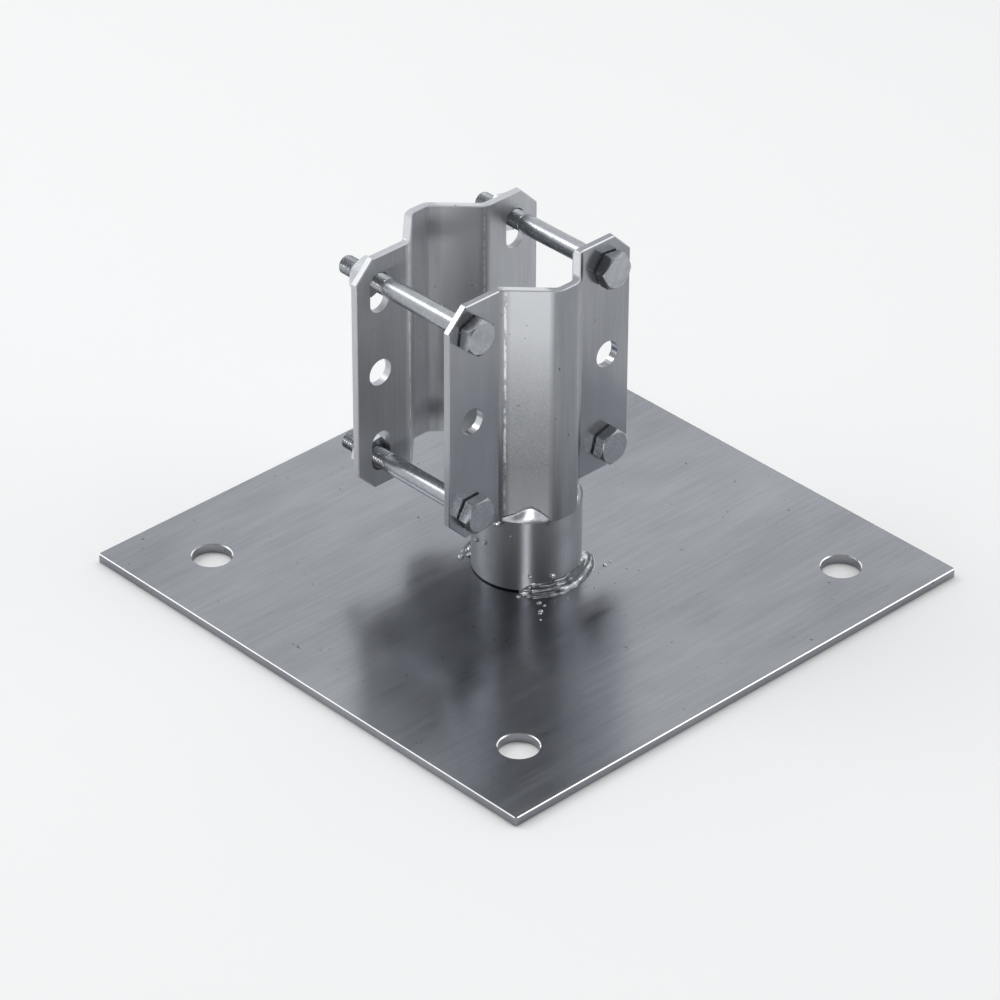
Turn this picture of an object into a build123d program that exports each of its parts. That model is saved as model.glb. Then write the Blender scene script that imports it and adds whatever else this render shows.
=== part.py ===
from build123d import *

import os
from math import copysign, cos, radians, sin, tan

# Anchor plate for a mast: a square base plate with four anchor holes, a short
# stub tube welded upright on its middle, and a two-part clamp above the tube.
# The front clamp half stands on the tube's rim and is welded to it. The rear
# half hangs on four long bolts and is held by their nuts.
#
# X runs along the bolts, from the loose rear half towards the bolt heads.
# Y runs along the flanges, Z is up, and the origin is under the plate's middle.

# Base plate
plate_side = 300.0
plate_thickness = 5.0
plate_corner_radius = 1.2
plate_edge_break = 0.4
anchor_spacing = 220.0
anchor_hole_diameter = 20.0
anchor_hole_edge_break = 0.5

# Stub tube
tube_diameter = 55.0
tube_wall = 3.5
tube_length = 40.0

# Clamp halves, each folded from one sheet
sheet_thickness = 4.0
clamp_width = 120.0
clamp_height = 130.0
trough_depth = 20.0
trough_floor_width = 11.2
leg_angle = 45.0
bend_inner_radius = 4.0
corner_cut = 11.0
sheet_edge_break = 0.5
leg_setback = 2.5
jaw_gap = 61.0

# Holes in the clamp halves
bolt_column_spacing = 90.0
bolt_row_spacing = 100.0
bolt_hole_diameter = 12.0
middle_hole_diameter = 14.0
slot_length = 22.0

# Bolts and nuts
bolt_diameter = 10.0
bolt_length = 90.0
thread_diameter = 9.85
thread_length = 32.0
bolt_tip_chamfer = 1.0
hexagon_across_flats = 17.0
hexagon_bevel_angle = 30.0
bolt_head_height = 6.4
washer_face_diameter = 15.6
washer_face_height = 0.4
nut_height = 8.0
nut_bore_clearance = 0.05
nut_countersink = 0.6
head_play = 0.5
hole_rest_gap = 0.05
slot_rest_gap = 0.3

# Weld beads
base_weld_leg = 5.0
clamp_weld_diameter = 9.0
clamp_weld_length = 26.0
clamp_weld_taper = 4.0
clamp_weld_rise = 1.0

# Turn of each hexagon about its bolt, in degrees: the head's, then the nut's
hexagon_turns = {
    "upper_left": (172.0, 20.0),
    "upper_right": (83.0, 47.0),
    "lower_left": (152.0, 8.0),
    "lower_right": (165.0, 33.0),
}

# Start and sweep of the base welds about the tube, in degrees from +X
base_weld_arcs = {
    "front": (-51.0, 118.0),
    "rear": (140.0, 84.0),
}

# Places worked out from the sizes above
tube_radius = tube_diameter / 2
tube_top = plate_thickness + tube_length
clamp_middle = tube_top + clamp_height / 2

leg_slope = radians(leg_angle)
flange_fold = trough_floor_width / 2 + trough_depth / tan(leg_slope)
leg_distance = tube_radius - leg_setback - sheet_thickness / 2
front_flange_x = (leg_distance - flange_fold * sin(leg_slope)) / cos(leg_slope)
rear_flange_x = front_flange_x - sheet_thickness - jaw_gap
bend_middle_radius = bend_inner_radius + sheet_thickness / 2
flat_tolerance = 1e-6

bolt_drop = (bolt_hole_diameter - bolt_diameter) / 2 - hole_rest_gap
rear_drop = bolt_drop + (bolt_hole_diameter - bolt_diameter) / 2 - slot_rest_gap
slot_row_spacing = bolt_row_spacing + bolt_hole_diameter - slot_length

head_seat = front_flange_x + sheet_thickness / 2 + head_play
nut_seat = rear_flange_x - sheet_thickness / 2
hexagon_radius = hexagon_across_flats / 2
hexagon_corner = hexagon_radius / cos(radians(30))
bevel_rise = (hexagon_corner - hexagon_radius) * tan(radians(hexagon_bevel_angle))

sides = {"left": -1, "right": 1}
levels = {"upper": 1, "lower": -1}


def clamp_half(name, flange_x, bulge, bottom, rows, hole_length):
    """A folded half: flange, leg, trough floor, leg and flange, with cut corners.

    The trough bulges along +X where bulge is 1 and along -X where it is -1.
    """
    floor_x = flange_x + bulge * trough_depth
    half_floor = trough_floor_width / 2
    half_width = clamp_width / 2
    with BuildPart() as half:
        with BuildSketch(Plane.XY.offset(bottom)):
            with BuildLine():
                FilletPolyline(
                    (flange_x, -half_width),
                    (flange_x, -flange_fold),
                    (floor_x, -half_floor),
                    (floor_x, half_floor),
                    (flange_x, flange_fold),
                    (flange_x, half_width),
                    radius=bend_middle_radius,
                )
            trace(line_width=sheet_thickness)
        extrude(amount=clamp_height)

        outer_corners = half.edges().filter_by(Axis.X)
        chamfer(outer_corners, length=corner_cut)
        cut_faces = half.faces().filter_by(lambda face: abs(face.normal_at().X) < flat_tolerance)
        chamfer(cut_faces.edges().filter_by(Axis.X, reverse=True), length=sheet_edge_break)

        middle = bottom + clamp_height / 2
        with BuildSketch(Plane.YZ.offset(flange_x)):
            with Locations((0, middle)):
                with GridLocations(bolt_column_spacing, rows, 2, 2):
                    if hole_length > bolt_hole_diameter:
                        SlotOverall(hole_length, bolt_hole_diameter, rotation=90)
                    else:
                        Circle(bolt_hole_diameter / 2)
                with GridLocations(bolt_column_spacing, clamp_height, 2, 1):
                    Circle(middle_hole_diameter / 2)
        extrude(amount=sheet_thickness, both=True, mode=Mode.SUBTRACT)
    half.part.label = name
    return half.part


def hexagon(seat, height, turn):
    """A hexagonal prism along X, or along -X for a negative height, its far corners bevelled."""
    far_end = seat + height
    rise = copysign(bevel_rise, height)
    with BuildPart() as prism:
        with BuildSketch(Plane.YZ.offset(seat)):
            RegularPolygon(hexagon_corner, 6, rotation=turn)
        extrude(amount=height)
        with BuildSketch(Plane.XZ):
            with BuildLine():
                Polyline(
                    (seat, 0),
                    (seat, hexagon_corner),
                    (far_end - rise, hexagon_corner),
                    (far_end, hexagon_radius),
                    (far_end, 0),
                    close=True,
                )
            make_face()
        revolve(axis=Axis.X, mode=Mode.INTERSECT)
    return prism.part


def bolt(name, y, z, turn):
    """A hexagon bolt lying along X, its head in front and its thread at the back."""
    tip_x = head_seat - bolt_length
    thread_start = tip_x + thread_length
    with BuildPart() as body:
        with BuildSketch(Plane.XZ):
            with BuildLine():
                Polyline(
                    (head_seat + washer_face_height, 0),
                    (head_seat + washer_face_height, washer_face_diameter / 2),
                    (head_seat, washer_face_diameter / 2),
                    (head_seat, bolt_diameter / 2),
                    (thread_start, bolt_diameter / 2),
                    (thread_start, thread_diameter / 2),
                    (tip_x + bolt_tip_chamfer, thread_diameter / 2),
                    (tip_x, thread_diameter / 2 - bolt_tip_chamfer),
                    (tip_x, 0),
                    close=True,
                )
            make_face()
        revolve(axis=Axis.X)
        head_height = bolt_head_height - washer_face_height
        add(hexagon(head_seat + washer_face_height, head_height, turn))
    placed = body.part.moved(Location((0, y, z)))
    placed.label = name
    return placed


def nut(name, y, z, turn):
    """A hexagon nut behind the rear half, bored for the thread and countersunk at the back."""
    bore_radius = thread_diameter / 2 + nut_bore_clearance
    with BuildPart() as body:
        add(hexagon(nut_seat, -nut_height, turn))
        with BuildSketch(Plane.YZ.offset(nut_seat)):
            Circle(bore_radius)
        extrude(amount=-nut_height, mode=Mode.SUBTRACT)
        bore_rims = body.edges().filter_by(GeomType.CIRCLE).sort_by(SortBy.RADIUS)[0:2]
        chamfer(bore_rims.sort_by(Axis.X)[0], length=nut_countersink)
    placed = body.part.moved(Location((0, y, z)))
    placed.label = name
    return placed


def write(part):
    """One file for each piece, under the piece's own name."""
    export_step(part, f"parts/{part.label}.step")


os.makedirs("parts", exist_ok=True)

# Base plate: a sheared square with an anchor hole near each corner
with BuildPart() as base_plate:
    with BuildSketch():
        Rectangle(plate_side, plate_side)
    extrude(amount=plate_thickness)
    fillet(base_plate.edges().filter_by(Axis.Z), radius=plate_corner_radius)
    chamfer(base_plate.faces().filter_by(Axis.Z).edges(), length=plate_edge_break)
    with BuildSketch():
        with GridLocations(anchor_spacing, anchor_spacing, 2, 2):
            Circle(anchor_hole_diameter / 2)
    extrude(amount=plate_thickness, mode=Mode.SUBTRACT)
    hole_walls = base_plate.faces().filter_by(GeomType.CYLINDER).sort_by(SortBy.AREA)[-4:]
    hole_rims = hole_walls.edges().filter_by(GeomType.CIRCLE).group_by(Axis.Z)
    chamfer(hole_rims[-1], length=anchor_hole_edge_break)
base_plate.part.label = "base_plate"
write(base_plate.part)

# Stub tube: stands on the plate's middle and is open at its top
with BuildPart() as stub_tube:
    with BuildSketch(Plane.XY.offset(plate_thickness)):
        Circle(tube_radius)
        Circle(tube_radius - tube_wall, mode=Mode.SUBTRACT)
    extrude(amount=tube_length)
stub_tube.part.label = "stub_tube"
write(stub_tube.part)

# Base welds: fillet beads in the corner between the tube and the plate
for name, (start, sweep_angle) in base_weld_arcs.items():
    with BuildPart() as base_weld:
        with BuildSketch(Plane.XZ):
            with BuildLine():
                Polyline(
                    (tube_radius, plate_thickness),
                    (tube_radius + base_weld_leg, plate_thickness),
                    (tube_radius, plate_thickness + base_weld_leg),
                    close=True,
                )
            make_face()
        revolve(axis=Axis.Z, revolution_arc=sweep_angle)
    placed = base_weld.part.rotate(Axis.Z, start)
    placed.label = f"base_weld_{name}"
    write(placed)

# Front clamp half: stands on the tube's rim, its trough towards +X
front_half = clamp_half(
    "front_clamp_half", front_flange_x, 1, tube_top, bolt_row_spacing, bolt_hole_diameter
)
write(front_half)

# Rear clamp half: hangs on the upper bolts by its slots, its trough towards -X
rear_half = clamp_half(
    "rear_clamp_half", rear_flange_x, -1, tube_top - rear_drop, slot_row_spacing, slot_length
)
write(rear_half)

# Clamp welds: a round bead with tapered ends across each leg, where the half meets the rim
for name, side in sides.items():
    bead_x = tube_radius * cos(leg_slope)
    bead_y = side * tube_radius * sin(leg_slope)
    bead_middle = Plane(
        origin=(bead_x, bead_y, tube_top + clamp_weld_rise),
        x_dir=(sin(leg_slope), -side * cos(leg_slope), 0),
        z_dir=(cos(leg_slope), side * sin(leg_slope), 0),
    )
    half_length = clamp_weld_length / 2
    with BuildPart() as clamp_weld:
        with BuildSketch(bead_middle):
            with BuildLine():
                Polyline(
                    (-half_length, 0),
                    (clamp_weld_taper - half_length, clamp_weld_diameter / 2),
                    (half_length - clamp_weld_taper, clamp_weld_diameter / 2),
                    (half_length, 0),
                    close=True,
                )
            make_face()
        revolve(axis=Axis(bead_middle.origin, bead_middle.x_dir))
        add(front_half, mode=Mode.SUBTRACT)
        with BuildSketch(Plane.XY.offset(tube_top)):
            Circle(tube_radius)
        extrude(amount=-tube_length, mode=Mode.SUBTRACT)
    clamp_weld.part.label = f"clamp_weld_{name}"
    write(clamp_weld.part)

# Four bolts, heads in front, and the nuts behind the rear half
for level, up in levels.items():
    for side_name, side in sides.items():
        place = f"{level}_{side_name}"
        head_turn, nut_turn = hexagon_turns[place]
        y = side * bolt_column_spacing / 2
        z = clamp_middle - bolt_drop + up * bolt_row_spacing / 2
        write(bolt(f"bolt_{place}", y, z, head_turn))
        write(nut(f"nut_{place}", y, z, nut_turn))
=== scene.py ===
import math

import bmesh
import bpy
from mathutils import Matrix, Vector, noise


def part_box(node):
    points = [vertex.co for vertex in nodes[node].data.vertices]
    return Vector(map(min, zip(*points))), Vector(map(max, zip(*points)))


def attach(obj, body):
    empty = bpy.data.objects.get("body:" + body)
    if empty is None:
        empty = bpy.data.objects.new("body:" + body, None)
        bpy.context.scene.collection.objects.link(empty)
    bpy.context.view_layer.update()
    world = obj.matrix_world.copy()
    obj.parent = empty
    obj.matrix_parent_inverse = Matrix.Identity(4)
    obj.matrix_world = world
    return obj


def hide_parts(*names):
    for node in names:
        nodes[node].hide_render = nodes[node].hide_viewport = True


# The look of a zinc-plated anchor plate: cloudy brushed steel, folded sheet with a
# granular trough, ridged and smooth welds, spatter, and bolts with real threads.
# Lengths are in metres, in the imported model's own frame.

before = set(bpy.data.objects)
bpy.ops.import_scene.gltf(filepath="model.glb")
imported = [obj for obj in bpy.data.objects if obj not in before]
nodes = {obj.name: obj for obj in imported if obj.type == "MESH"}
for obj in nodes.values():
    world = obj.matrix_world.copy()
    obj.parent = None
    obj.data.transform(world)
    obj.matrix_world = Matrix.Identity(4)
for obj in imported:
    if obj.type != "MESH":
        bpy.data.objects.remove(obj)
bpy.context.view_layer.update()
MM = 0.001

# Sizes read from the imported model
plate_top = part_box("base_plate")[1].z
tube_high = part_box("stub_tube")[1]
tube_radius = tube_high.x
tube_top = tube_high.z
clamp_half_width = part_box("front_clamp_half")[1].y

# Camera, fitted to the photograph
image_side_pixels = 1000.0
sensor_width = 36.0
focal_pixels = 4940.93
camera_azimuth = math.radians(46.391)
camera_elevation = math.radians(33.186)
camera_roll = math.radians(0.2238)
camera_distance = 2.4439
camera_shift_right = -0.012906
camera_shift_up = 0.030052


def set_camera():
    """The camera looks at the middle of the plate's top, a little off its own centre."""
    back = Vector(
        (
            math.sin(camera_azimuth) * math.cos(camera_elevation),
            -math.cos(camera_azimuth) * math.cos(camera_elevation),
            math.sin(camera_elevation),
        )
    )
    level_right = Vector((math.cos(camera_azimuth), math.sin(camera_azimuth), 0))
    level_up = back.cross(level_right)
    right = level_right * math.cos(camera_roll) + level_up * math.sin(camera_roll)
    up = level_up * math.cos(camera_roll) - level_right * math.sin(camera_roll)
    place = back * camera_distance + right * camera_shift_right + up * camera_shift_up
    place.z += plate_top
    data = bpy.data.cameras.new("camera")
    data.sensor_width = sensor_width
    data.lens = focal_pixels / image_side_pixels * sensor_width
    data.clip_start = 0.1
    data.clip_end = 100
    camera = bpy.data.objects.new("camera", data)
    camera.matrix_world = Matrix(
        (
            (right.x, up.x, back.x, place.x),
            (right.y, up.y, back.y, place.y),
            (right.z, up.z, back.z, place.z),
            (0, 0, 0, 1),
        )
    )
    bpy.context.scene.collection.objects.link(camera)
    bpy.context.scene.camera = camera


class Graph:
    """A material's node tree, with short calls for the nodes that the finishes share."""

    def __init__(self, name):
        self.material = bpy.data.materials.new(name)
        self.material.use_nodes = True
        self.tree = self.material.node_tree
        self.shader = self.tree.nodes["Principled BSDF"]
        coordinates = self.tree.nodes.new("ShaderNodeTexCoord")
        self.place = coordinates.outputs["Object"]
        self.facing = coordinates.outputs["Normal"]

    def node(self, kind, inputs, **settings):
        """A node with its settings, each input either linked or given a value."""
        made = self.tree.nodes.new(kind)
        for key, value in settings.items():
            setattr(made, key, value)
        for key, value in inputs.items():
            if isinstance(value, bpy.types.NodeSocket):
                self.tree.links.new(value, made.inputs[key])
            else:
                made.inputs[key].default_value = value
        return made

    def noise(self, size, detail=3.0, stretch=(1, 1, 1), offset=0.0, rough=0.5):
        """Noise from 0 to 1 with features of about that size, longer along stretch."""
        scale = tuple(1 / s for s in stretch)
        mapping = self.node(
            "ShaderNodeMapping",
            {"Vector": self.place, "Scale": scale, "Location": (offset, offset, offset)},
        )
        made = self.node(
            "ShaderNodeTexNoise",
            {
                "Vector": mapping.outputs[0],
                "Scale": 1 / size,
                "Detail": detail,
                "Roughness": rough,
            },
        )
        return made.outputs["Fac"]

    def range(self, value, low, high, to_low=0.0, to_high=1.0):
        """The value's way from low to high, mapped to to_low and to_high and held there."""
        leg_highlight = {0: value, 1: low, 2: high, 3: to_low, 4: to_high}
        return self.node("ShaderNodeMapRange", leg_highlight).outputs[0]

    def math(self, operation, a, b):
        """Two values joined by a Math node's operation."""
        return self.node("ShaderNodeMath", {0: a, 1: b}, operation=operation).outputs[0]

    def mix(self, factor, a, b):
        """The colour a where the factor is 0 and b where it is 1."""
        made = self.node("ShaderNodeMix", {0: factor}, data_type="RGBA")
        for index, colour in ((6, a), (7, b)):
            if isinstance(colour, bpy.types.NodeSocket):
                self.tree.links.new(colour, made.inputs[index])
            else:
                made.inputs[index].default_value = (*colour, 1)
        return made.outputs[2]

    def sum(self, *values):
        """All the values added up."""
        total = values[0]
        for value in values[1:]:
            total = self.math("ADD", total, value)
        return total

    def split(self, axis):
        """One coordinate of the place, in the piece's own frame."""
        return self.node("ShaderNodeSeparateXYZ", {0: self.place}).outputs[axis]

    def rims(self, low, high):
        """1 on faces whose normal leans up by between low and high, such as broken edges."""
        facing = self.node("ShaderNodeSeparateXYZ", {0: self.facing}).outputs["Z"]
        above = self.math("GREATER_THAN", facing, low)
        return self.math("MULTIPLY", above, self.math("LESS_THAN", facing, high))

    def bump(self, height, distance, strength, normal=None):
        """A normal that leans as if height stood out by distance, on top of another normal."""
        inputs = {"Height": height, "Distance": distance, "Strength": strength}
        if normal is not None:
            inputs["Normal"] = normal
        return self.node("ShaderNodeBump", inputs).outputs[0]

    def set(self, socket, value):
        """A value or another node's output, put on the shader's socket."""
        if isinstance(value, bpy.types.NodeSocket):
            self.tree.links.new(value, self.shader.inputs[socket])
        else:
            self.shader.inputs[socket].default_value = value


# Zinc colours, from the dark clouds to the light ones of each finish, with the painted
# highlight and painted shade colours among them
plate_dark = (0.230, 0.240, 0.262)
plate_light = (0.381, 0.392, 0.418)
sheet_dark = (0.241, 0.251, 0.273)
sheet_light = (0.342, 0.354, 0.380)
matt_dark = (0.426, 0.440, 0.465)
matt_light = (0.605, 0.619, 0.644)
trough_dark = (0.290, 0.302, 0.322)
trough_light = (0.550, 0.565, 0.588)
# Painted highlight towards the legs' top and foot
trough_highlight = (0.690, 0.705, 0.728)
tube_dark = (0.302, 0.315, 0.339)
tube_light = (0.426, 0.440, 0.468)
bolt_dark = (0.302, 0.316, 0.339)
bolt_light = (0.448, 0.463, 0.487)
# The nuts: the bolts' zinc painted lighter, as a painted highlight
nut_highlight_dark = (0.515, 0.532, 0.560)
nut_highlight_light = (0.739, 0.756, 0.778)
# Painted shade between the base bead's ridges and painted highlight on their crests; the light
# one also tints the smooth welds' lumps
ridge_shade_dark = (0.101, 0.108, 0.120)
weld_light = (0.694, 0.706, 0.728)
# Painted highlights: on broken edges and along the fold line, and a softer one on the sheets'
# edges
painted_edge_highlight = (0.941, 0.950, 0.950)
painted_sheet_edge_highlight = (0.605, 0.616, 0.638)
speck_dark = (0.05, 0.055, 0.06)
# Painted shade at the tube's foot
foot_shade_dark = (0.01, 0.01, 0.01)

# How far a normal leans up on a broken edge, where the painted edge highlight goes: neither on
# a side nor on a top
rim_lean = (0.2, 0.95)


def plate_zinc():
    """The plate: large clouds, feathered streaks along Y and a few dark specks."""
    g = Graph("plate_zinc")
    clouds = g.noise(90 * MM, detail=5, stretch=(1, 2.2, 1), offset=3.1)
    mottle = g.noise(14 * MM, detail=4, stretch=(1, 3, 1), offset=1.7)
    feather = g.noise(7 * MM, detail=4, stretch=(1, 11, 1), offset=5.9, rough=0.55)
    streaks = g.noise(2.2 * MM, detail=4, stretch=(1, 26, 1), offset=0.4, rough=0.6)
    grain = g.noise(0.5 * MM, detail=3)
    tone = g.sum(
        g.range(clouds, 0.32, 0.68, 0, 0.45),
        g.range(mottle, 0.25, 0.75, 0, 0.30),
        g.range(streaks, 0.3, 0.7, 0, 0.25),
    )
    colour = g.mix(tone, plate_dark, plate_light)
    specks = g.range(g.noise(3.2 * MM, detail=2, offset=8.3), 0.735, 0.76, 0.0, 0.75)
    colour = g.mix(specks, colour, speck_dark)
    # Painted highlight on the up-leaning broken edges
    g.set("Base Color", g.mix(g.rims(*rim_lean), colour, painted_edge_highlight))
    g.set("Metallic", 1.0)
    rough = g.sum(
        g.range(feather, 0.3, 0.7, 0.18, 0.24),
        g.range(streaks, 0.3, 0.7, -0.015, 0.02),
        g.range(grain, 0.3, 0.7, -0.01, 0.02),
    )
    g.set("Roughness", rough)
    normal = g.bump(streaks, 0.05 * MM, 0.25)
    normal = g.bump(mottle, 0.25 * MM, 0.2, normal)
    g.set("Normal", g.bump(grain, 0.02 * MM, 0.3, normal))
    return g.material


# The folded halves, by distance from the middle plane: where flange turns into trough, the
# painted highlight on the fold line and its soft width, where floor turns into leg, and the cut
# sides, whose edges take a painted highlight
trough_edge = (27 * MM, 23 * MM)
fold_line = 24.9 * MM
fold_softness = (0.55 * MM, 0.25 * MM)
leg_edge = (8.2 * MM, 10.2 * MM)
side_edge = (clamp_half_width - 0.7 * MM, clamp_half_width - 0.5 * MM)

# Heights over which the legs take a painted highlight, brighter up to their top and down to
# their foot
leg_highlight_up = (105 * MM, 152 * MM)
leg_highlight_down = (76 * MM, 50 * MM)


def sheet_zinc(name, dark, light, roughness, metallic):
    """A folded half: smooth flanges, granular legs, painted highlights on edges, leg ends and
    fold line.
    """
    g = Graph(name)
    clouds = g.noise(40 * MM, detail=4, stretch=(1, 1, 2.2), offset=5.2)
    streaks = g.noise(1.6 * MM, detail=4, stretch=(1, 1, 22), offset=2.4, rough=0.6)
    grain = g.noise(0.9 * MM, detail=4, offset=0.8, rough=0.75)
    beside = g.math("ABSOLUTE", g.split("Y"), 0)
    trough = g.range(beside, *trough_edge)
    tone = g.sum(g.range(clouds, 0.3, 0.7, 0, 0.6), g.range(streaks, 0.3, 0.7, 0, 0.4))
    flange_colour = g.mix(tone, dark, light)
    grain_tone = g.sum(g.range(clouds, 0.3, 0.7, 0, 0.3), g.range(grain, 0.3, 0.7, 0, 0.7))
    height = g.split("Z")
    # Painted highlight: the legs grow lighter towards their top and their foot
    upper = g.range(height, *leg_highlight_up, 0, 0.8)
    lower = g.range(height, *leg_highlight_down, 0, 1.0)
    leg_highlight = g.math("MAXIMUM", upper, lower)
    leg_colour = g.mix(leg_highlight, g.mix(grain_tone, trough_dark, trough_light), trough_highlight)
    leg = g.math("MULTIPLY", trough, g.range(beside, *leg_edge))
    colour = g.mix(leg, flange_colour, leg_colour)
    specks = g.range(g.noise(2.6 * MM, detail=2, offset=4.9), 0.74, 0.76, 0.0, 0.8)
    colour = g.mix(specks, colour, speck_dark)
    # Painted highlight along the cut sides
    side_highlight = g.range(beside, *side_edge, 0, 0.35)
    # Painted highlight in dashes along the fold line
    off_fold = g.math("ABSOLUTE", g.math("SUBTRACT", beside, fold_line), 0)
    fold_highlight_dashes = g.range(g.noise(2.4 * MM, detail=3, stretch=(1, 1, 1.6), offset=6.6), 0.42, 0.55)
    fold_highlight = g.math("MULTIPLY", g.range(off_fold, *fold_softness), fold_highlight_dashes)
    colour = g.mix(fold_highlight, colour, painted_edge_highlight)
    # Painted highlight on the up-leaning broken edges, joined with the cut sides' one
    rims = g.math("MAXIMUM", side_highlight, g.rims(*rim_lean))
    g.set("Base Color", g.mix(rims, colour, painted_sheet_edge_highlight))
    g.set("Metallic", metallic)
    everywhere = g.range(tone, 0.1, 0.9, roughness + 0.03, roughness - 0.03)
    in_trough = g.math("MULTIPLY", trough, g.range(grain, 0.3, 0.7, 0.08, 0.20))
    g.set("Roughness", g.sum(everywhere, in_trough))
    normal = g.bump(streaks, 0.04 * MM, 0.15)
    normal = g.bump(g.math("MULTIPLY", grain, trough), 0.22 * MM, 0.6, normal)
    g.set("Normal", g.bump(grain, 0.02 * MM, 0.08, normal))
    return g.material


# Heights above the plate over which the painted shade at the tube's foot fades out
foot_shade_fade = (0.7 * MM, 1.1 * MM)


def tube_zinc():
    """The stub tube: turned steel, its highlights drawn out along it, with painted shade at its
    foot.
    """
    g = Graph("tube_zinc")
    streaks = g.noise(1.2 * MM, detail=4, stretch=(1, 1, 30), offset=6.1, rough=0.6)
    clouds = g.noise(12 * MM, detail=4, offset=2.2)
    grain = g.noise(0.6 * MM, detail=3, offset=1.2)
    tone = g.sum(g.range(clouds, 0.3, 0.7, 0, 0.6), g.range(streaks, 0.3, 0.7, 0, 0.4))
    colour = g.mix(tone, tube_dark, tube_light)
    # Painted shade: a nearly black band where the tube stands on the plate
    foot_shade = g.range(g.split("Z"), plate_top + foot_shade_fade[0], plate_top + foot_shade_fade[1], 1, 0)
    g.set("Base Color", g.mix(foot_shade, colour, foot_shade_dark))
    g.set("Metallic", 0.9)
    g.set("Roughness", g.range(tone, 0.1, 0.9, 0.38, 0.30))
    g.set("Anisotropic", 0.92)
    g.set("Anisotropic Rotation", 0.25)
    tangent = g.node("ShaderNodeTangent", {}, direction_type="RADIAL", axis="Z")
    g.set("Tangent", tangent.outputs[0])
    normal = g.bump(streaks, 0.03 * MM, 0.2)
    g.set("Normal", g.bump(grain, 0.02 * MM, 0.3, normal))
    return g.material


def fastener_zinc(name, dark, light, roughness):
    """Bolts and nuts: shiny plating with small tool marks, glossier where it is lighter."""
    g = Graph(name)
    spread = 0.035
    marks = g.noise(1.1 * MM, detail=5, offset=7.7, rough=0.65)
    patches = g.noise(5 * MM, detail=3, offset=3.3)
    tone = g.sum(g.range(marks, 0.3, 0.7, 0, 0.5), g.range(patches, 0.3, 0.7, 0, 0.5))
    g.set("Base Color", g.mix(tone, dark, light))
    g.set("Metallic", 1.0)
    g.set("Roughness", g.range(tone, 0.1, 0.9, roughness + spread, roughness - spread))
    g.set("Normal", g.bump(marks, 0.04 * MM, 0.3))
    return g.material


def ridge_weld():
    """The base bead: drawn round the tube in fine ridges, with painted highlight on top and
    painted shade between.
    """
    g = Graph("ridge_weld_zinc")
    ridge_size = 1.3 * MM
    squeeze_along = 0.09
    x = g.split("X")
    y = g.split("Y")
    radius = g.math("SQRT", g.sum(g.math("MULTIPLY", x, x), g.math("MULTIPLY", y, y)), 0)
    arc = g.math("MULTIPLY", g.math("ARCTAN2", y, x), tube_radius)
    unrolled = {0: radius, 1: g.math("MULTIPLY", arc, squeeze_along), 2: g.split("Z")}
    drawn = g.node("ShaderNodeCombineXYZ", unrolled).outputs[0]
    ridge_noise = {"Vector": drawn, "Scale": 1 / ridge_size, "Detail": 3.0}
    ridges = g.node("ShaderNodeTexNoise", ridge_noise).outputs["Fac"]
    lumps = g.noise(3.0 * MM, detail=3, offset=9.1)
    # Painted highlight on the ridge crests, patchy with the lumps, and painted shade between
    # them
    crest_highlight = g.range(ridges, 0.47, 0.62)
    tone = g.math("MULTIPLY", crest_highlight, g.range(lumps, 0.35, 0.6, 0.35, 1.0))
    g.set("Base Color", g.mix(tone, ridge_shade_dark, weld_light))
    g.set("Metallic", 1.0)
    g.set("Roughness", g.range(tone, 0, 1, 0.30, 0.14))
    normal = g.bump(ridges, 0.5 * MM, 0.7)
    g.set("Normal", g.bump(lumps, 0.3 * MM, 0.4, normal))
    return g.material


def smooth_weld():
    """The clamp beads and the drops: glossy and nearly smooth, like the tube beside them."""
    g = Graph("smooth_weld_zinc")
    lumps = g.noise(4.0 * MM, detail=2, offset=9.1)
    g.set("Base Color", g.mix(lumps, tube_light, weld_light))
    g.set("Metallic", 1.0)
    g.set("Roughness", g.range(lumps, 0.3, 0.7, 0.24, 0.32))
    g.set("Normal", g.bump(lumps, 0.1 * MM, 0.4))
    return g.material


materials = {
    "plate": plate_zinc(),
    "glossy_sheet": sheet_zinc(
        "glossy_sheet_zinc", sheet_dark, sheet_light, roughness=0.22, metallic=0.85
    ),
    "matt_sheet": sheet_zinc(
        "matt_sheet_zinc", matt_dark, matt_light, roughness=0.40, metallic=0.65
    ),
    "tube": tube_zinc(),
    "bolt": fastener_zinc("bolt_zinc", bolt_dark, bolt_light, roughness=0.28),
    # The nuts: the bolts' zinc painted lighter, a painted highlight
    "nut": fastener_zinc("nut_highlight_zinc", nut_highlight_dark, nut_highlight_light, roughness=0.225),
    "ridge_weld": ridge_weld(),
    "smooth_weld": smooth_weld(),
}


def dress(node, finish):
    """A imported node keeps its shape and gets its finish."""
    piece = nodes[node]
    piece.data.materials.clear()
    piece.data.materials.append(materials[finish])


def new_piece(name, mesh_source, finish, body, smooth_angle):
    """A mesh piece from a bmesh, with its finish, riding on its body.

    Edges under smooth_angle, in degrees, are shaded smooth.
    """
    mesh = bpy.data.meshes.new(name)
    bmesh.ops.recalc_face_normals(mesh_source, faces=mesh_source.faces)
    mesh_source.to_mesh(mesh)
    mesh_source.free()
    mesh.shade_smooth()
    mesh.set_sharp_from_angle(angle=math.radians(smooth_angle))
    mesh.materials.append(materials[finish])
    piece = bpy.data.objects.new(name, mesh)
    bpy.context.scene.collection.objects.link(piece)
    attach(piece, body)
    return piece


def add_rings(made, rings):
    """Faces between rings of points, each ring closed, with the two end rings capped."""
    rows = [[made.verts.new(point) for point in ring] for ring in rings]
    count = len(rows[0])
    for low, high in zip(rows, rows[1:]):
        for i in range(count):
            j = (i + 1) % count
            made.faces.new((low[i], low[j], high[j], high[i]))
    made.faces.new(list(reversed(rows[0])))
    made.faces.new(rows[-1])


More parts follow.
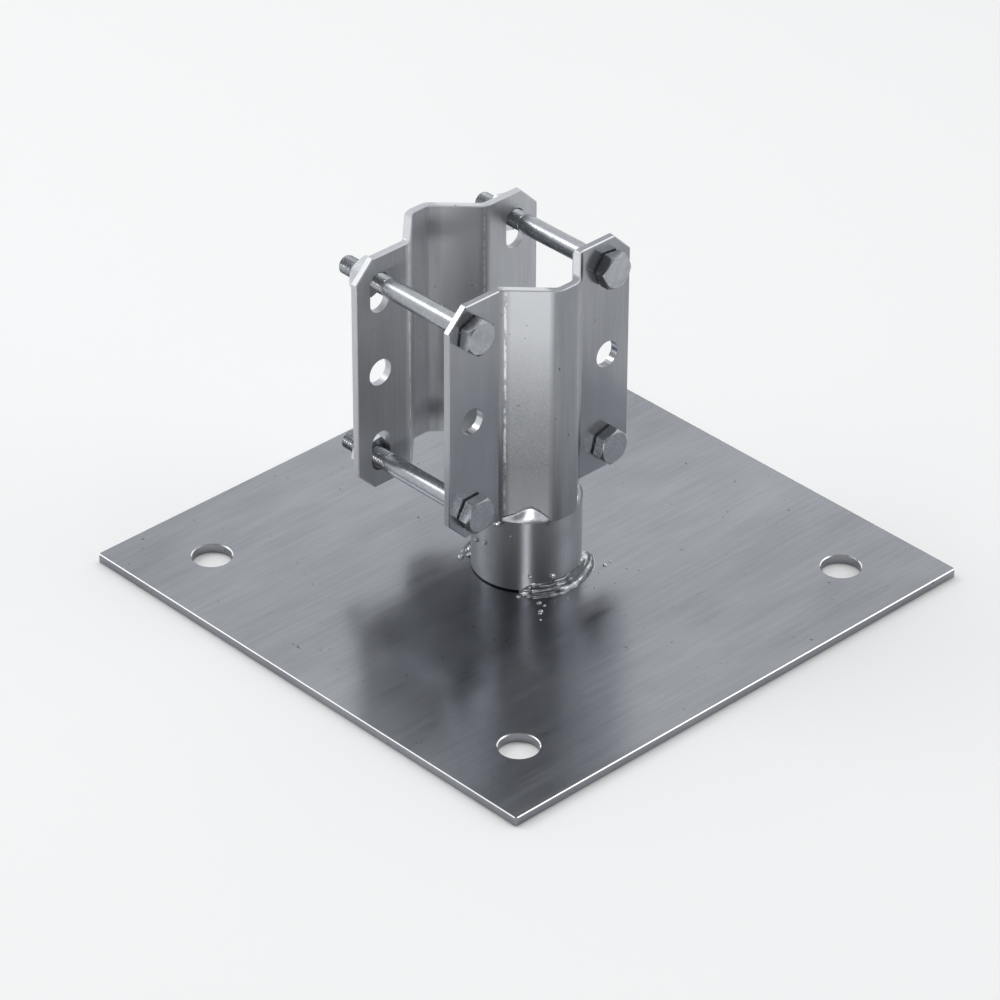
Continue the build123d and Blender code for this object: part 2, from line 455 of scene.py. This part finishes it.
# Bolts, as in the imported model, with their threads cut
bolt_radius = 5.0 * MM
bolt_length = 90.0 * MM
bolt_sides = 48
thread_crest = 4.925 * MM
thread_root = 4.15 * MM
thread_pitch = 1.5 * MM
thread_steps_per_turn = 10
thread_length = 32.0 * MM
runout = 2.0 * MM
shank_step = 0.3 * MM
tip_chamfer = 1.0 * MM
head_height = 6.4 * MM
half_across_flats = 8.5 * MM
head_bevel_radius = 8.1 * MM
head_bevel_slope = math.tan(math.radians(30))
points_per_flat = 10
washer_face_height = 0.4 * MM
washer_face_radius = 7.8 * MM
washer_overlap = 0.1 * MM
bolt_edge_break = 0.22 * MM
bolt_edge_angle = math.radians(50)

# How far each head is turned, in degrees
head_turns = {"upper_left": 172, "upper_right": 83, "lower_left": 152, "lower_right": 165}


def circle(x, y, z, radius_at):
    """A ring of points about a bolt's axis, with the radius that radius_at gives."""
    ring = []
    for i in range(bolt_sides):
        angle = 2 * math.pi * i / bolt_sides
        radius = radius_at(x, angle)
        ring.append((x, y + radius * math.cos(angle), z + radius * math.sin(angle)))
    return ring


def thread_profile(share):
    """Radius at a share of one pitch: a crest flat, a flank, a root flat and a flank."""
    crest = 0.14
    root = 0.16
    flank = (1 - crest - root) / 2
    if share < crest:
        return thread_crest
    if share < crest + flank:
        return thread_crest + (thread_root - thread_crest) * (share - crest) / flank
    if share < crest + flank + root:
        return thread_root
    return thread_root + (thread_crest - thread_root) * (share - crest - flank - root) / flank


def add_hexagon(made, seat, height, y, z, turn):
    """A bolt's head: a hexagon whose far corners are bevelled by a cone."""
    count = 6 * points_per_flat
    top = seat + height
    cap, far, side, near, base = [], [], [], [], []
    for i in range(count):
        local = 2 * math.pi * i / count
        angle = local + math.radians(turn) + math.pi / 6
        radius = half_across_flats / math.cos(local % (math.pi / 3) - math.pi / 6)
        bevelled = top - max(0.0, radius - head_bevel_radius) * head_bevel_slope
        for ring, x, r in (
            (cap, top, head_bevel_radius / 2),
            (far, top, head_bevel_radius),
            (side, bevelled, radius),
            (near, seat, radius),
            (base, seat, radius / 2),
        ):
            ring.append((x, y + r * math.cos(angle), z + r * math.sin(angle)))
    add_rings(made, [cap, far, side, near, base])


def bolt(place, turn):
    """A bolt with its head, washer face, shank, runout and helical thread."""
    node = f"bolt_{place}"
    low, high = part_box(node)
    tip = low.x
    head_seat = tip + bolt_length
    thread_start = tip + thread_length
    z = (low.z + high.z) / 2
    y = (low.y + high.y) / 2

    def shank(x, angle):
        return bolt_radius

    def washer_face(x, angle):
        return washer_face_radius

    def thread(x, angle):
        share = ((x - tip) / thread_pitch - angle / (2 * math.pi)) % 1.0
        radius = thread_profile(share)
        into_shank = max(0.0, min(1.0, (x - (thread_start - runout)) / runout))
        radius += (thread_crest - radius) * into_shank
        return min(radius, thread_crest - tip_chamfer + (x - tip))

    made = bmesh.new()
    hexagon_seat = head_seat + washer_face_height
    add_hexagon(made, hexagon_seat, head_height - washer_face_height, y, z, turn)
    washer = [
        circle(hexagon_seat + washer_overlap, y, z, washer_face),
        circle(head_seat, y, z, washer_face),
        circle(head_seat, y, z, shank),
    ]
    add_rings(made, washer)
    rings = [circle(hexagon_seat, y, z, shank), circle(thread_start + shank_step, y, z, shank)]
    x = thread_start
    while x > tip:
        rings.append(circle(x, y, z, thread))
        x -= thread_pitch / thread_steps_per_turn
    rings.append(circle(tip, y, z, thread))
    add_rings(made, rings)
    name = f"threaded_{node}"
    piece = new_piece(name, made, "bolt", "mast_foot", smooth_angle=22)
    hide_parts(node)
    softened = piece.modifiers.new("rims", "BEVEL")
    softened.width = bolt_edge_break
    softened.segments = 2
    softened.limit_method = "ANGLE"
    softened.angle_limit = bolt_edge_angle
    softened.use_clamp_overlap = True


# Base weld: how deep it is sunk into tube and plate, its size, how much that size changes
# slowly and quickly along it, and the height of what runs on its surface
base_sunk = 0.4 * MM
base_width = 6.4 * MM
base_width_slow = 1.4 * MM
base_width_quick = 0.5 * MM
base_height = 4.8 * MM
base_height_slow = 1.2 * MM
base_height_quick = 0.7 * MM
base_bow = 0.10
base_ridge = 0.22 * MM
base_ridges_across = 2.2
base_ridge_drift = 1.1
base_lump = 0.55 * MM

# Waves per metre along the base weld, for each change of its shape
base_slow_waves = 70
base_quick_waves = 260
base_drift_waves = 45
base_lump_waves = 170
base_lumps_across = 1.6


def base_bead(name, node, start, sweep, seed):
    """A flat, ridged fillet bead in the corner between tube and plate, angles in degrees.

    It starts blunt and thins out over its last part.
    """
    made = bmesh.new()
    along = 260
    across = 26
    floor = plate_top - base_sunk
    rings = []
    for i in range(along + 1):
        share = i / along
        angle = math.radians(start + sweep * share)
        outward = Vector((math.cos(angle), math.sin(angle), 0))
        taper = min(1.0, 7 * share + 0.25, (9 * (1 - share)) ** 0.7)
        arc = angle * tube_radius
        slow = noise.noise(Vector((arc * base_slow_waves, seed, 0)))
        quick = noise.noise(Vector((arc * base_quick_waves, seed + 3, 0)))
        drifting = noise.noise(Vector((arc * base_drift_waves, seed + 7, 0)))
        drift = base_ridge_drift * drifting
        width = (base_width + base_width_slow * slow + base_width_quick * quick) * taper
        height = (base_height - base_height_slow * slow + base_height_quick * quick) * taper
        foot = outward * (tube_radius - base_sunk)
        ring = [(foot.x, foot.y, floor)]
        for k in range(across + 1):
            u = k / across
            arch = math.sin(math.pi * u)
            ridge = base_ridge * math.sin(2 * math.pi * (base_ridges_across * u + drift))
            lump_place = Vector((arc * base_lump_waves, u * base_lumps_across, seed + 9))
            lump = base_lump * noise.noise(lump_place)
            bow = (1 - u) ** 1.15 + base_bow * arch
            rise = base_sunk + height * bow + (ridge + lump) * arch * taper
            point = foot + outward * (base_sunk + width * u)
            ring.append((point.x, point.y, floor + rise))
        last = foot + outward * (base_sunk + width)
        ring.append((last.x, last.y, floor))
        rings.append(ring)
    add_rings(made, rings)
    piece = new_piece(name, made, "ridge_weld", "mast_foot", smooth_angle=70)
    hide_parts(node)


# Clamp beads: where the leg's outer face stands, then the bead's half length, its reach above
# and below the tube's rim, and the crown, where it stands highest
leg_angle = math.radians(45)
leg_face_distance = 25.0 * MM
bead_half_length = 13.4 * MM
bead_above = 3.6 * MM
bead_below = 4.8 * MM
crown_height = 5.0 * MM
crown_place = 2.6 * MM
crown_spread = 6.4 * MM
bead_inside = 0.6 * MM
bead_bulge = 0.4 * MM
bead_toe = 0.3 * MM
bead_toe_share = 0.06
bead_sunk = 0.05 * MM
bead_lump = 0.08 * MM
bead_wander_above = 0.3 * MM
bead_wander_below = 0.2 * MM
bead_wander_waves = 300
bead_lump_waves = 200


def clamp_bead(name, node, side, seed):
    """A smooth bead from the tube's rim up onto a leg of the front half."""
    made = bmesh.new()
    normal = Vector((math.cos(leg_angle), side * math.sin(leg_angle), 0))
    across_leg = Vector((math.sin(leg_angle), -side * math.cos(leg_angle), 0))
    columns = 96
    rows = 24
    rings = []
    for i in range(columns + 1):
        from_middle = 2 * i / columns - 1
        s = from_middle * bead_half_length
        taper = max(0.015, 1 - abs(from_middle) ** 3.4)
        thinning = taper**0.6
        wander = noise.noise(Vector((s * bead_wander_waves, seed, 0)))
        crown = math.exp(-(((s - crown_place) / crown_spread) ** 2))
        above = bead_above + crown_height * crown + bead_wander_above * wander
        below = bead_below + bead_wander_below * wander
        top = tube_top + above * thinning
        bottom = tube_top - below * thinning
        on_tube = math.sqrt(max(0.0, tube_radius**2 - s**2))
        inside = min(on_tube, leg_face_distance) - bead_inside
        ring = []
        for k in range(rows + 1):
            t = k / rows
            z = bottom + (top - bottom) * t
            arch = math.sin(math.pi * t)
            chord = on_tube + (leg_face_distance - on_tube) * t**1.4 - bead_sunk
            toe = bead_toe * math.exp(-(((1 - t) / bead_toe_share) ** 2))
            lump_place = Vector((s * bead_lump_waves, z * bead_lump_waves, seed + 3))
            lump = bead_lump * noise.noise(lump_place)
            out = chord + (bead_bulge * arch**2 + toe + lump * arch) * taper
            point = normal * out + across_leg * s
            ring.append((point.x, point.y, z))
        for z in (top, bottom):
            point = normal * inside + across_leg * s
            ring.append((point.x, point.y, z))
        rings.append(ring)
    add_rings(made, rings)
    piece = new_piece(name, made, "smooth_weld", "mast_foot", smooth_angle=60)
    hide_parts(node)


# Drops on the plate: angle about the tube in degrees, distance from its axis and radius in mm
spatter_on_plate = [
    (-139.0, 32.4, 1.5),
    (-34.0, 37.6, 1.3),
    (-31.0, 40.2, 0.8),
    (-34.5, 44.6, 1.2),
    (-35.2, 46.6, 0.9),
    (-36.0, 52.0, 0.6),
    (41.0, 39.0, 1.1),
    (46.0, 41.6, 0.7),
    (-50.5, 31.6, 1.2),
    (12.0, 41.0, 0.5),
    (-12.0, 38.6, 0.5),
]
# Drops on the tube: angle about it in degrees, height above the floor and radius in mm
spatter_on_tube = [
    (-105.0, 26.0, 1.2),
    (-91.0, 28.2, 1.0),
    (-75.0, 43.0, 1.7),
    (-60.0, 37.2, 0.5),
    (-40.0, 14.2, 1.1),
    (-16.0, 12.6, 1.4),
    (118.0, 14.0, 0.8),
    (150.0, 24.0, 0.7),
]

# How much a drop's radius varies, and in how many waves per metre
drop_unevenness = 0.22
drop_waves = 700
tube_drop_seed = 30

# How far a drop's middle stands out, as a share of its radius, and how flat it lies
plate_drop_rise = 0.1
plate_drop_flatness = 0.6
tube_drop_rise = 0.2
tube_drop_flatness = 1.0


def add_drop(made, place, radius, flatness, seed):
    """A small uneven drop, flattened along Z."""
    drop = bmesh.ops.create_icosphere(made, subdivisions=3, radius=radius)
    for vertex in drop["verts"]:
        uneven = noise.noise(vertex.co * drop_waves + Vector((seed, 0, 0)))
        wobble = 1 + drop_unevenness * uneven
        vertex.co *= wobble
        vertex.co.z *= flatness
        vertex.co += place


def spatter():
    """Drops of weld metal on the plate and the tube, in one piece."""
    made = bmesh.new()
    for index, (angle, distance, size) in enumerate(spatter_on_plate):
        a = math.radians(angle)
        place = Vector((math.cos(a), math.sin(a), 0)) * distance * MM
        place.z = plate_top + plate_drop_rise * size * MM
        add_drop(made, place, size * MM, plate_drop_flatness, index)
    for index, (angle, height, size) in enumerate(spatter_on_tube):
        a = math.radians(angle)
        out = tube_radius + tube_drop_rise * size * MM
        place = Vector((math.cos(a), math.sin(a), 0)) * out
        place.z = height * MM
        add_drop(made, place, size * MM, tube_drop_flatness, index + tube_drop_seed)
    new_piece("weld_spatter", made, "smooth_weld", "mast_foot", smooth_angle=80)


# Floor, light and background
floor_colour = (0.95, 0.95, 0.95)
floor_half_side = 8.0


def set_floor():
    """A white matt floor that takes the object's shadow."""
    mesh = bpy.data.meshes.new("floor")
    side = floor_half_side
    corners = [(-side, -side, 0), (side, -side, 0), (side, side, 0), (-side, side, 0)]
    mesh.from_pydata(corners, [], [(0, 1, 2, 3)])
    material = bpy.data.materials.new("floor")
    material.use_nodes = True
    shader = material.node_tree.nodes["Principled BSDF"]
    shader.inputs["Base Color"].default_value = (*floor_colour, 1)
    shader.inputs["Roughness"].default_value = 0.9
    shader.inputs["Specular IOR Level"].default_value = 0.0
    mesh.materials.append(material)
    floor = bpy.data.objects.new("floor", mesh)
    bpy.context.scene.collection.objects.link(floor)


def direction(azimuth, elevation):
    """A unit vector towards an azimuth and elevation in degrees: -Y is 0 and +X is 90."""
    a = math.radians(azimuth)
    e = math.radians(elevation)
    return Vector((math.sin(a) * math.cos(e), -math.cos(a) * math.cos(e), math.sin(e)))


def add_light(name, azimuth, elevation, distance, width, height, power):
    """A soft rectangular light that faces the plate: angles in degrees, power in watts."""
    back = direction(azimuth, elevation)
    data = bpy.data.lights.new(name, "AREA")
    data.shape = "RECTANGLE"
    data.size = width
    data.size_y = height
    data.energy = power
    light = bpy.data.objects.new(name, data)
    light.location = back * distance
    light.rotation_mode = "QUATERNION"
    light.rotation_quaternion = (-back).to_track_quat("-Z", "Y")
    bpy.context.scene.collection.objects.link(light)


# Each light's azimuth, elevation, distance, width, height and power
lights = {
    "overhead": (226, 76, 2.0, 0.8, 0.8, 4.4),
    "glint": (62, 74, 2.0, 0.25, 0.25, 2.2),
    "right_fill": (134, 33, 2.4, 1.0, 1.0, 2.2),
    "left_front": (-64, 42, 2.4, 0.9, 0.9, 8.8),
    "low_front": (46, 2.6, 2.4, 0.5, 0.2, 12.5),
}

# The studio's walls: bright all round, and dark on the camera's side. The edge and the core
# of the dark are cosines of the angle from its middle.
wall_tint = (0.98, 0.99, 1.0)
wall_bright = 1.03
wall_dark = 0.15
dark_azimuth = 46
dark_elevation = 30
dark_edge = 0.28
dark_core = 0.8


def set_world():
    """Walls without end, their brightness falling towards the middle of the dark side."""
    world = bpy.data.worlds.new("studio")
    bpy.context.scene.world = world
    world.use_nodes = True
    tree = world.node_tree
    background = tree.nodes["Background"]
    background.inputs["Color"].default_value = (*wall_tint, 1)
    coordinates = tree.nodes.new("ShaderNodeTexCoord")
    facing = tree.nodes.new("ShaderNodeVectorMath")
    facing.operation = "DOT_PRODUCT"
    facing.inputs[1].default_value = direction(dark_azimuth, dark_elevation)
    strength = tree.nodes.new("ShaderNodeMapRange")
    strength.interpolation_type = "SMOOTHSTEP"
    for index, value in enumerate((dark_edge, dark_core, wall_bright, wall_dark), start=1):
        strength.inputs[index].default_value = value
    tree.links.new(coordinates.outputs["Generated"], facing.inputs[0])
    tree.links.new(facing.outputs["Value"], strength.inputs[0])
    tree.links.new(strength.outputs[0], background.inputs["Strength"])


set_camera()
dress("base_plate", "plate")
dress("stub_tube", "tube")
dress("front_clamp_half", "glossy_sheet")
dress("rear_clamp_half", "matt_sheet")
for place, turn in head_turns.items():
    bolt(place, turn)
    dress(f"nut_{place}", "nut")
base_bead("bead_base_front", "base_weld_front", start=-51, sweep=118, seed=2.0)
base_bead("bead_base_rear", "base_weld_rear", start=140, sweep=80, seed=11.0)
clamp_bead("bead_clamp_left", "clamp_weld_left", side=-1, seed=4.0)
clamp_bead("bead_clamp_right", "clamp_weld_right", side=1, seed=17.0)
spatter()
set_floor()
set_world()
for name, placing in lights.items():
    add_light(name, *placing)
bpy.context.scene.view_settings.view_transform = "Standard"
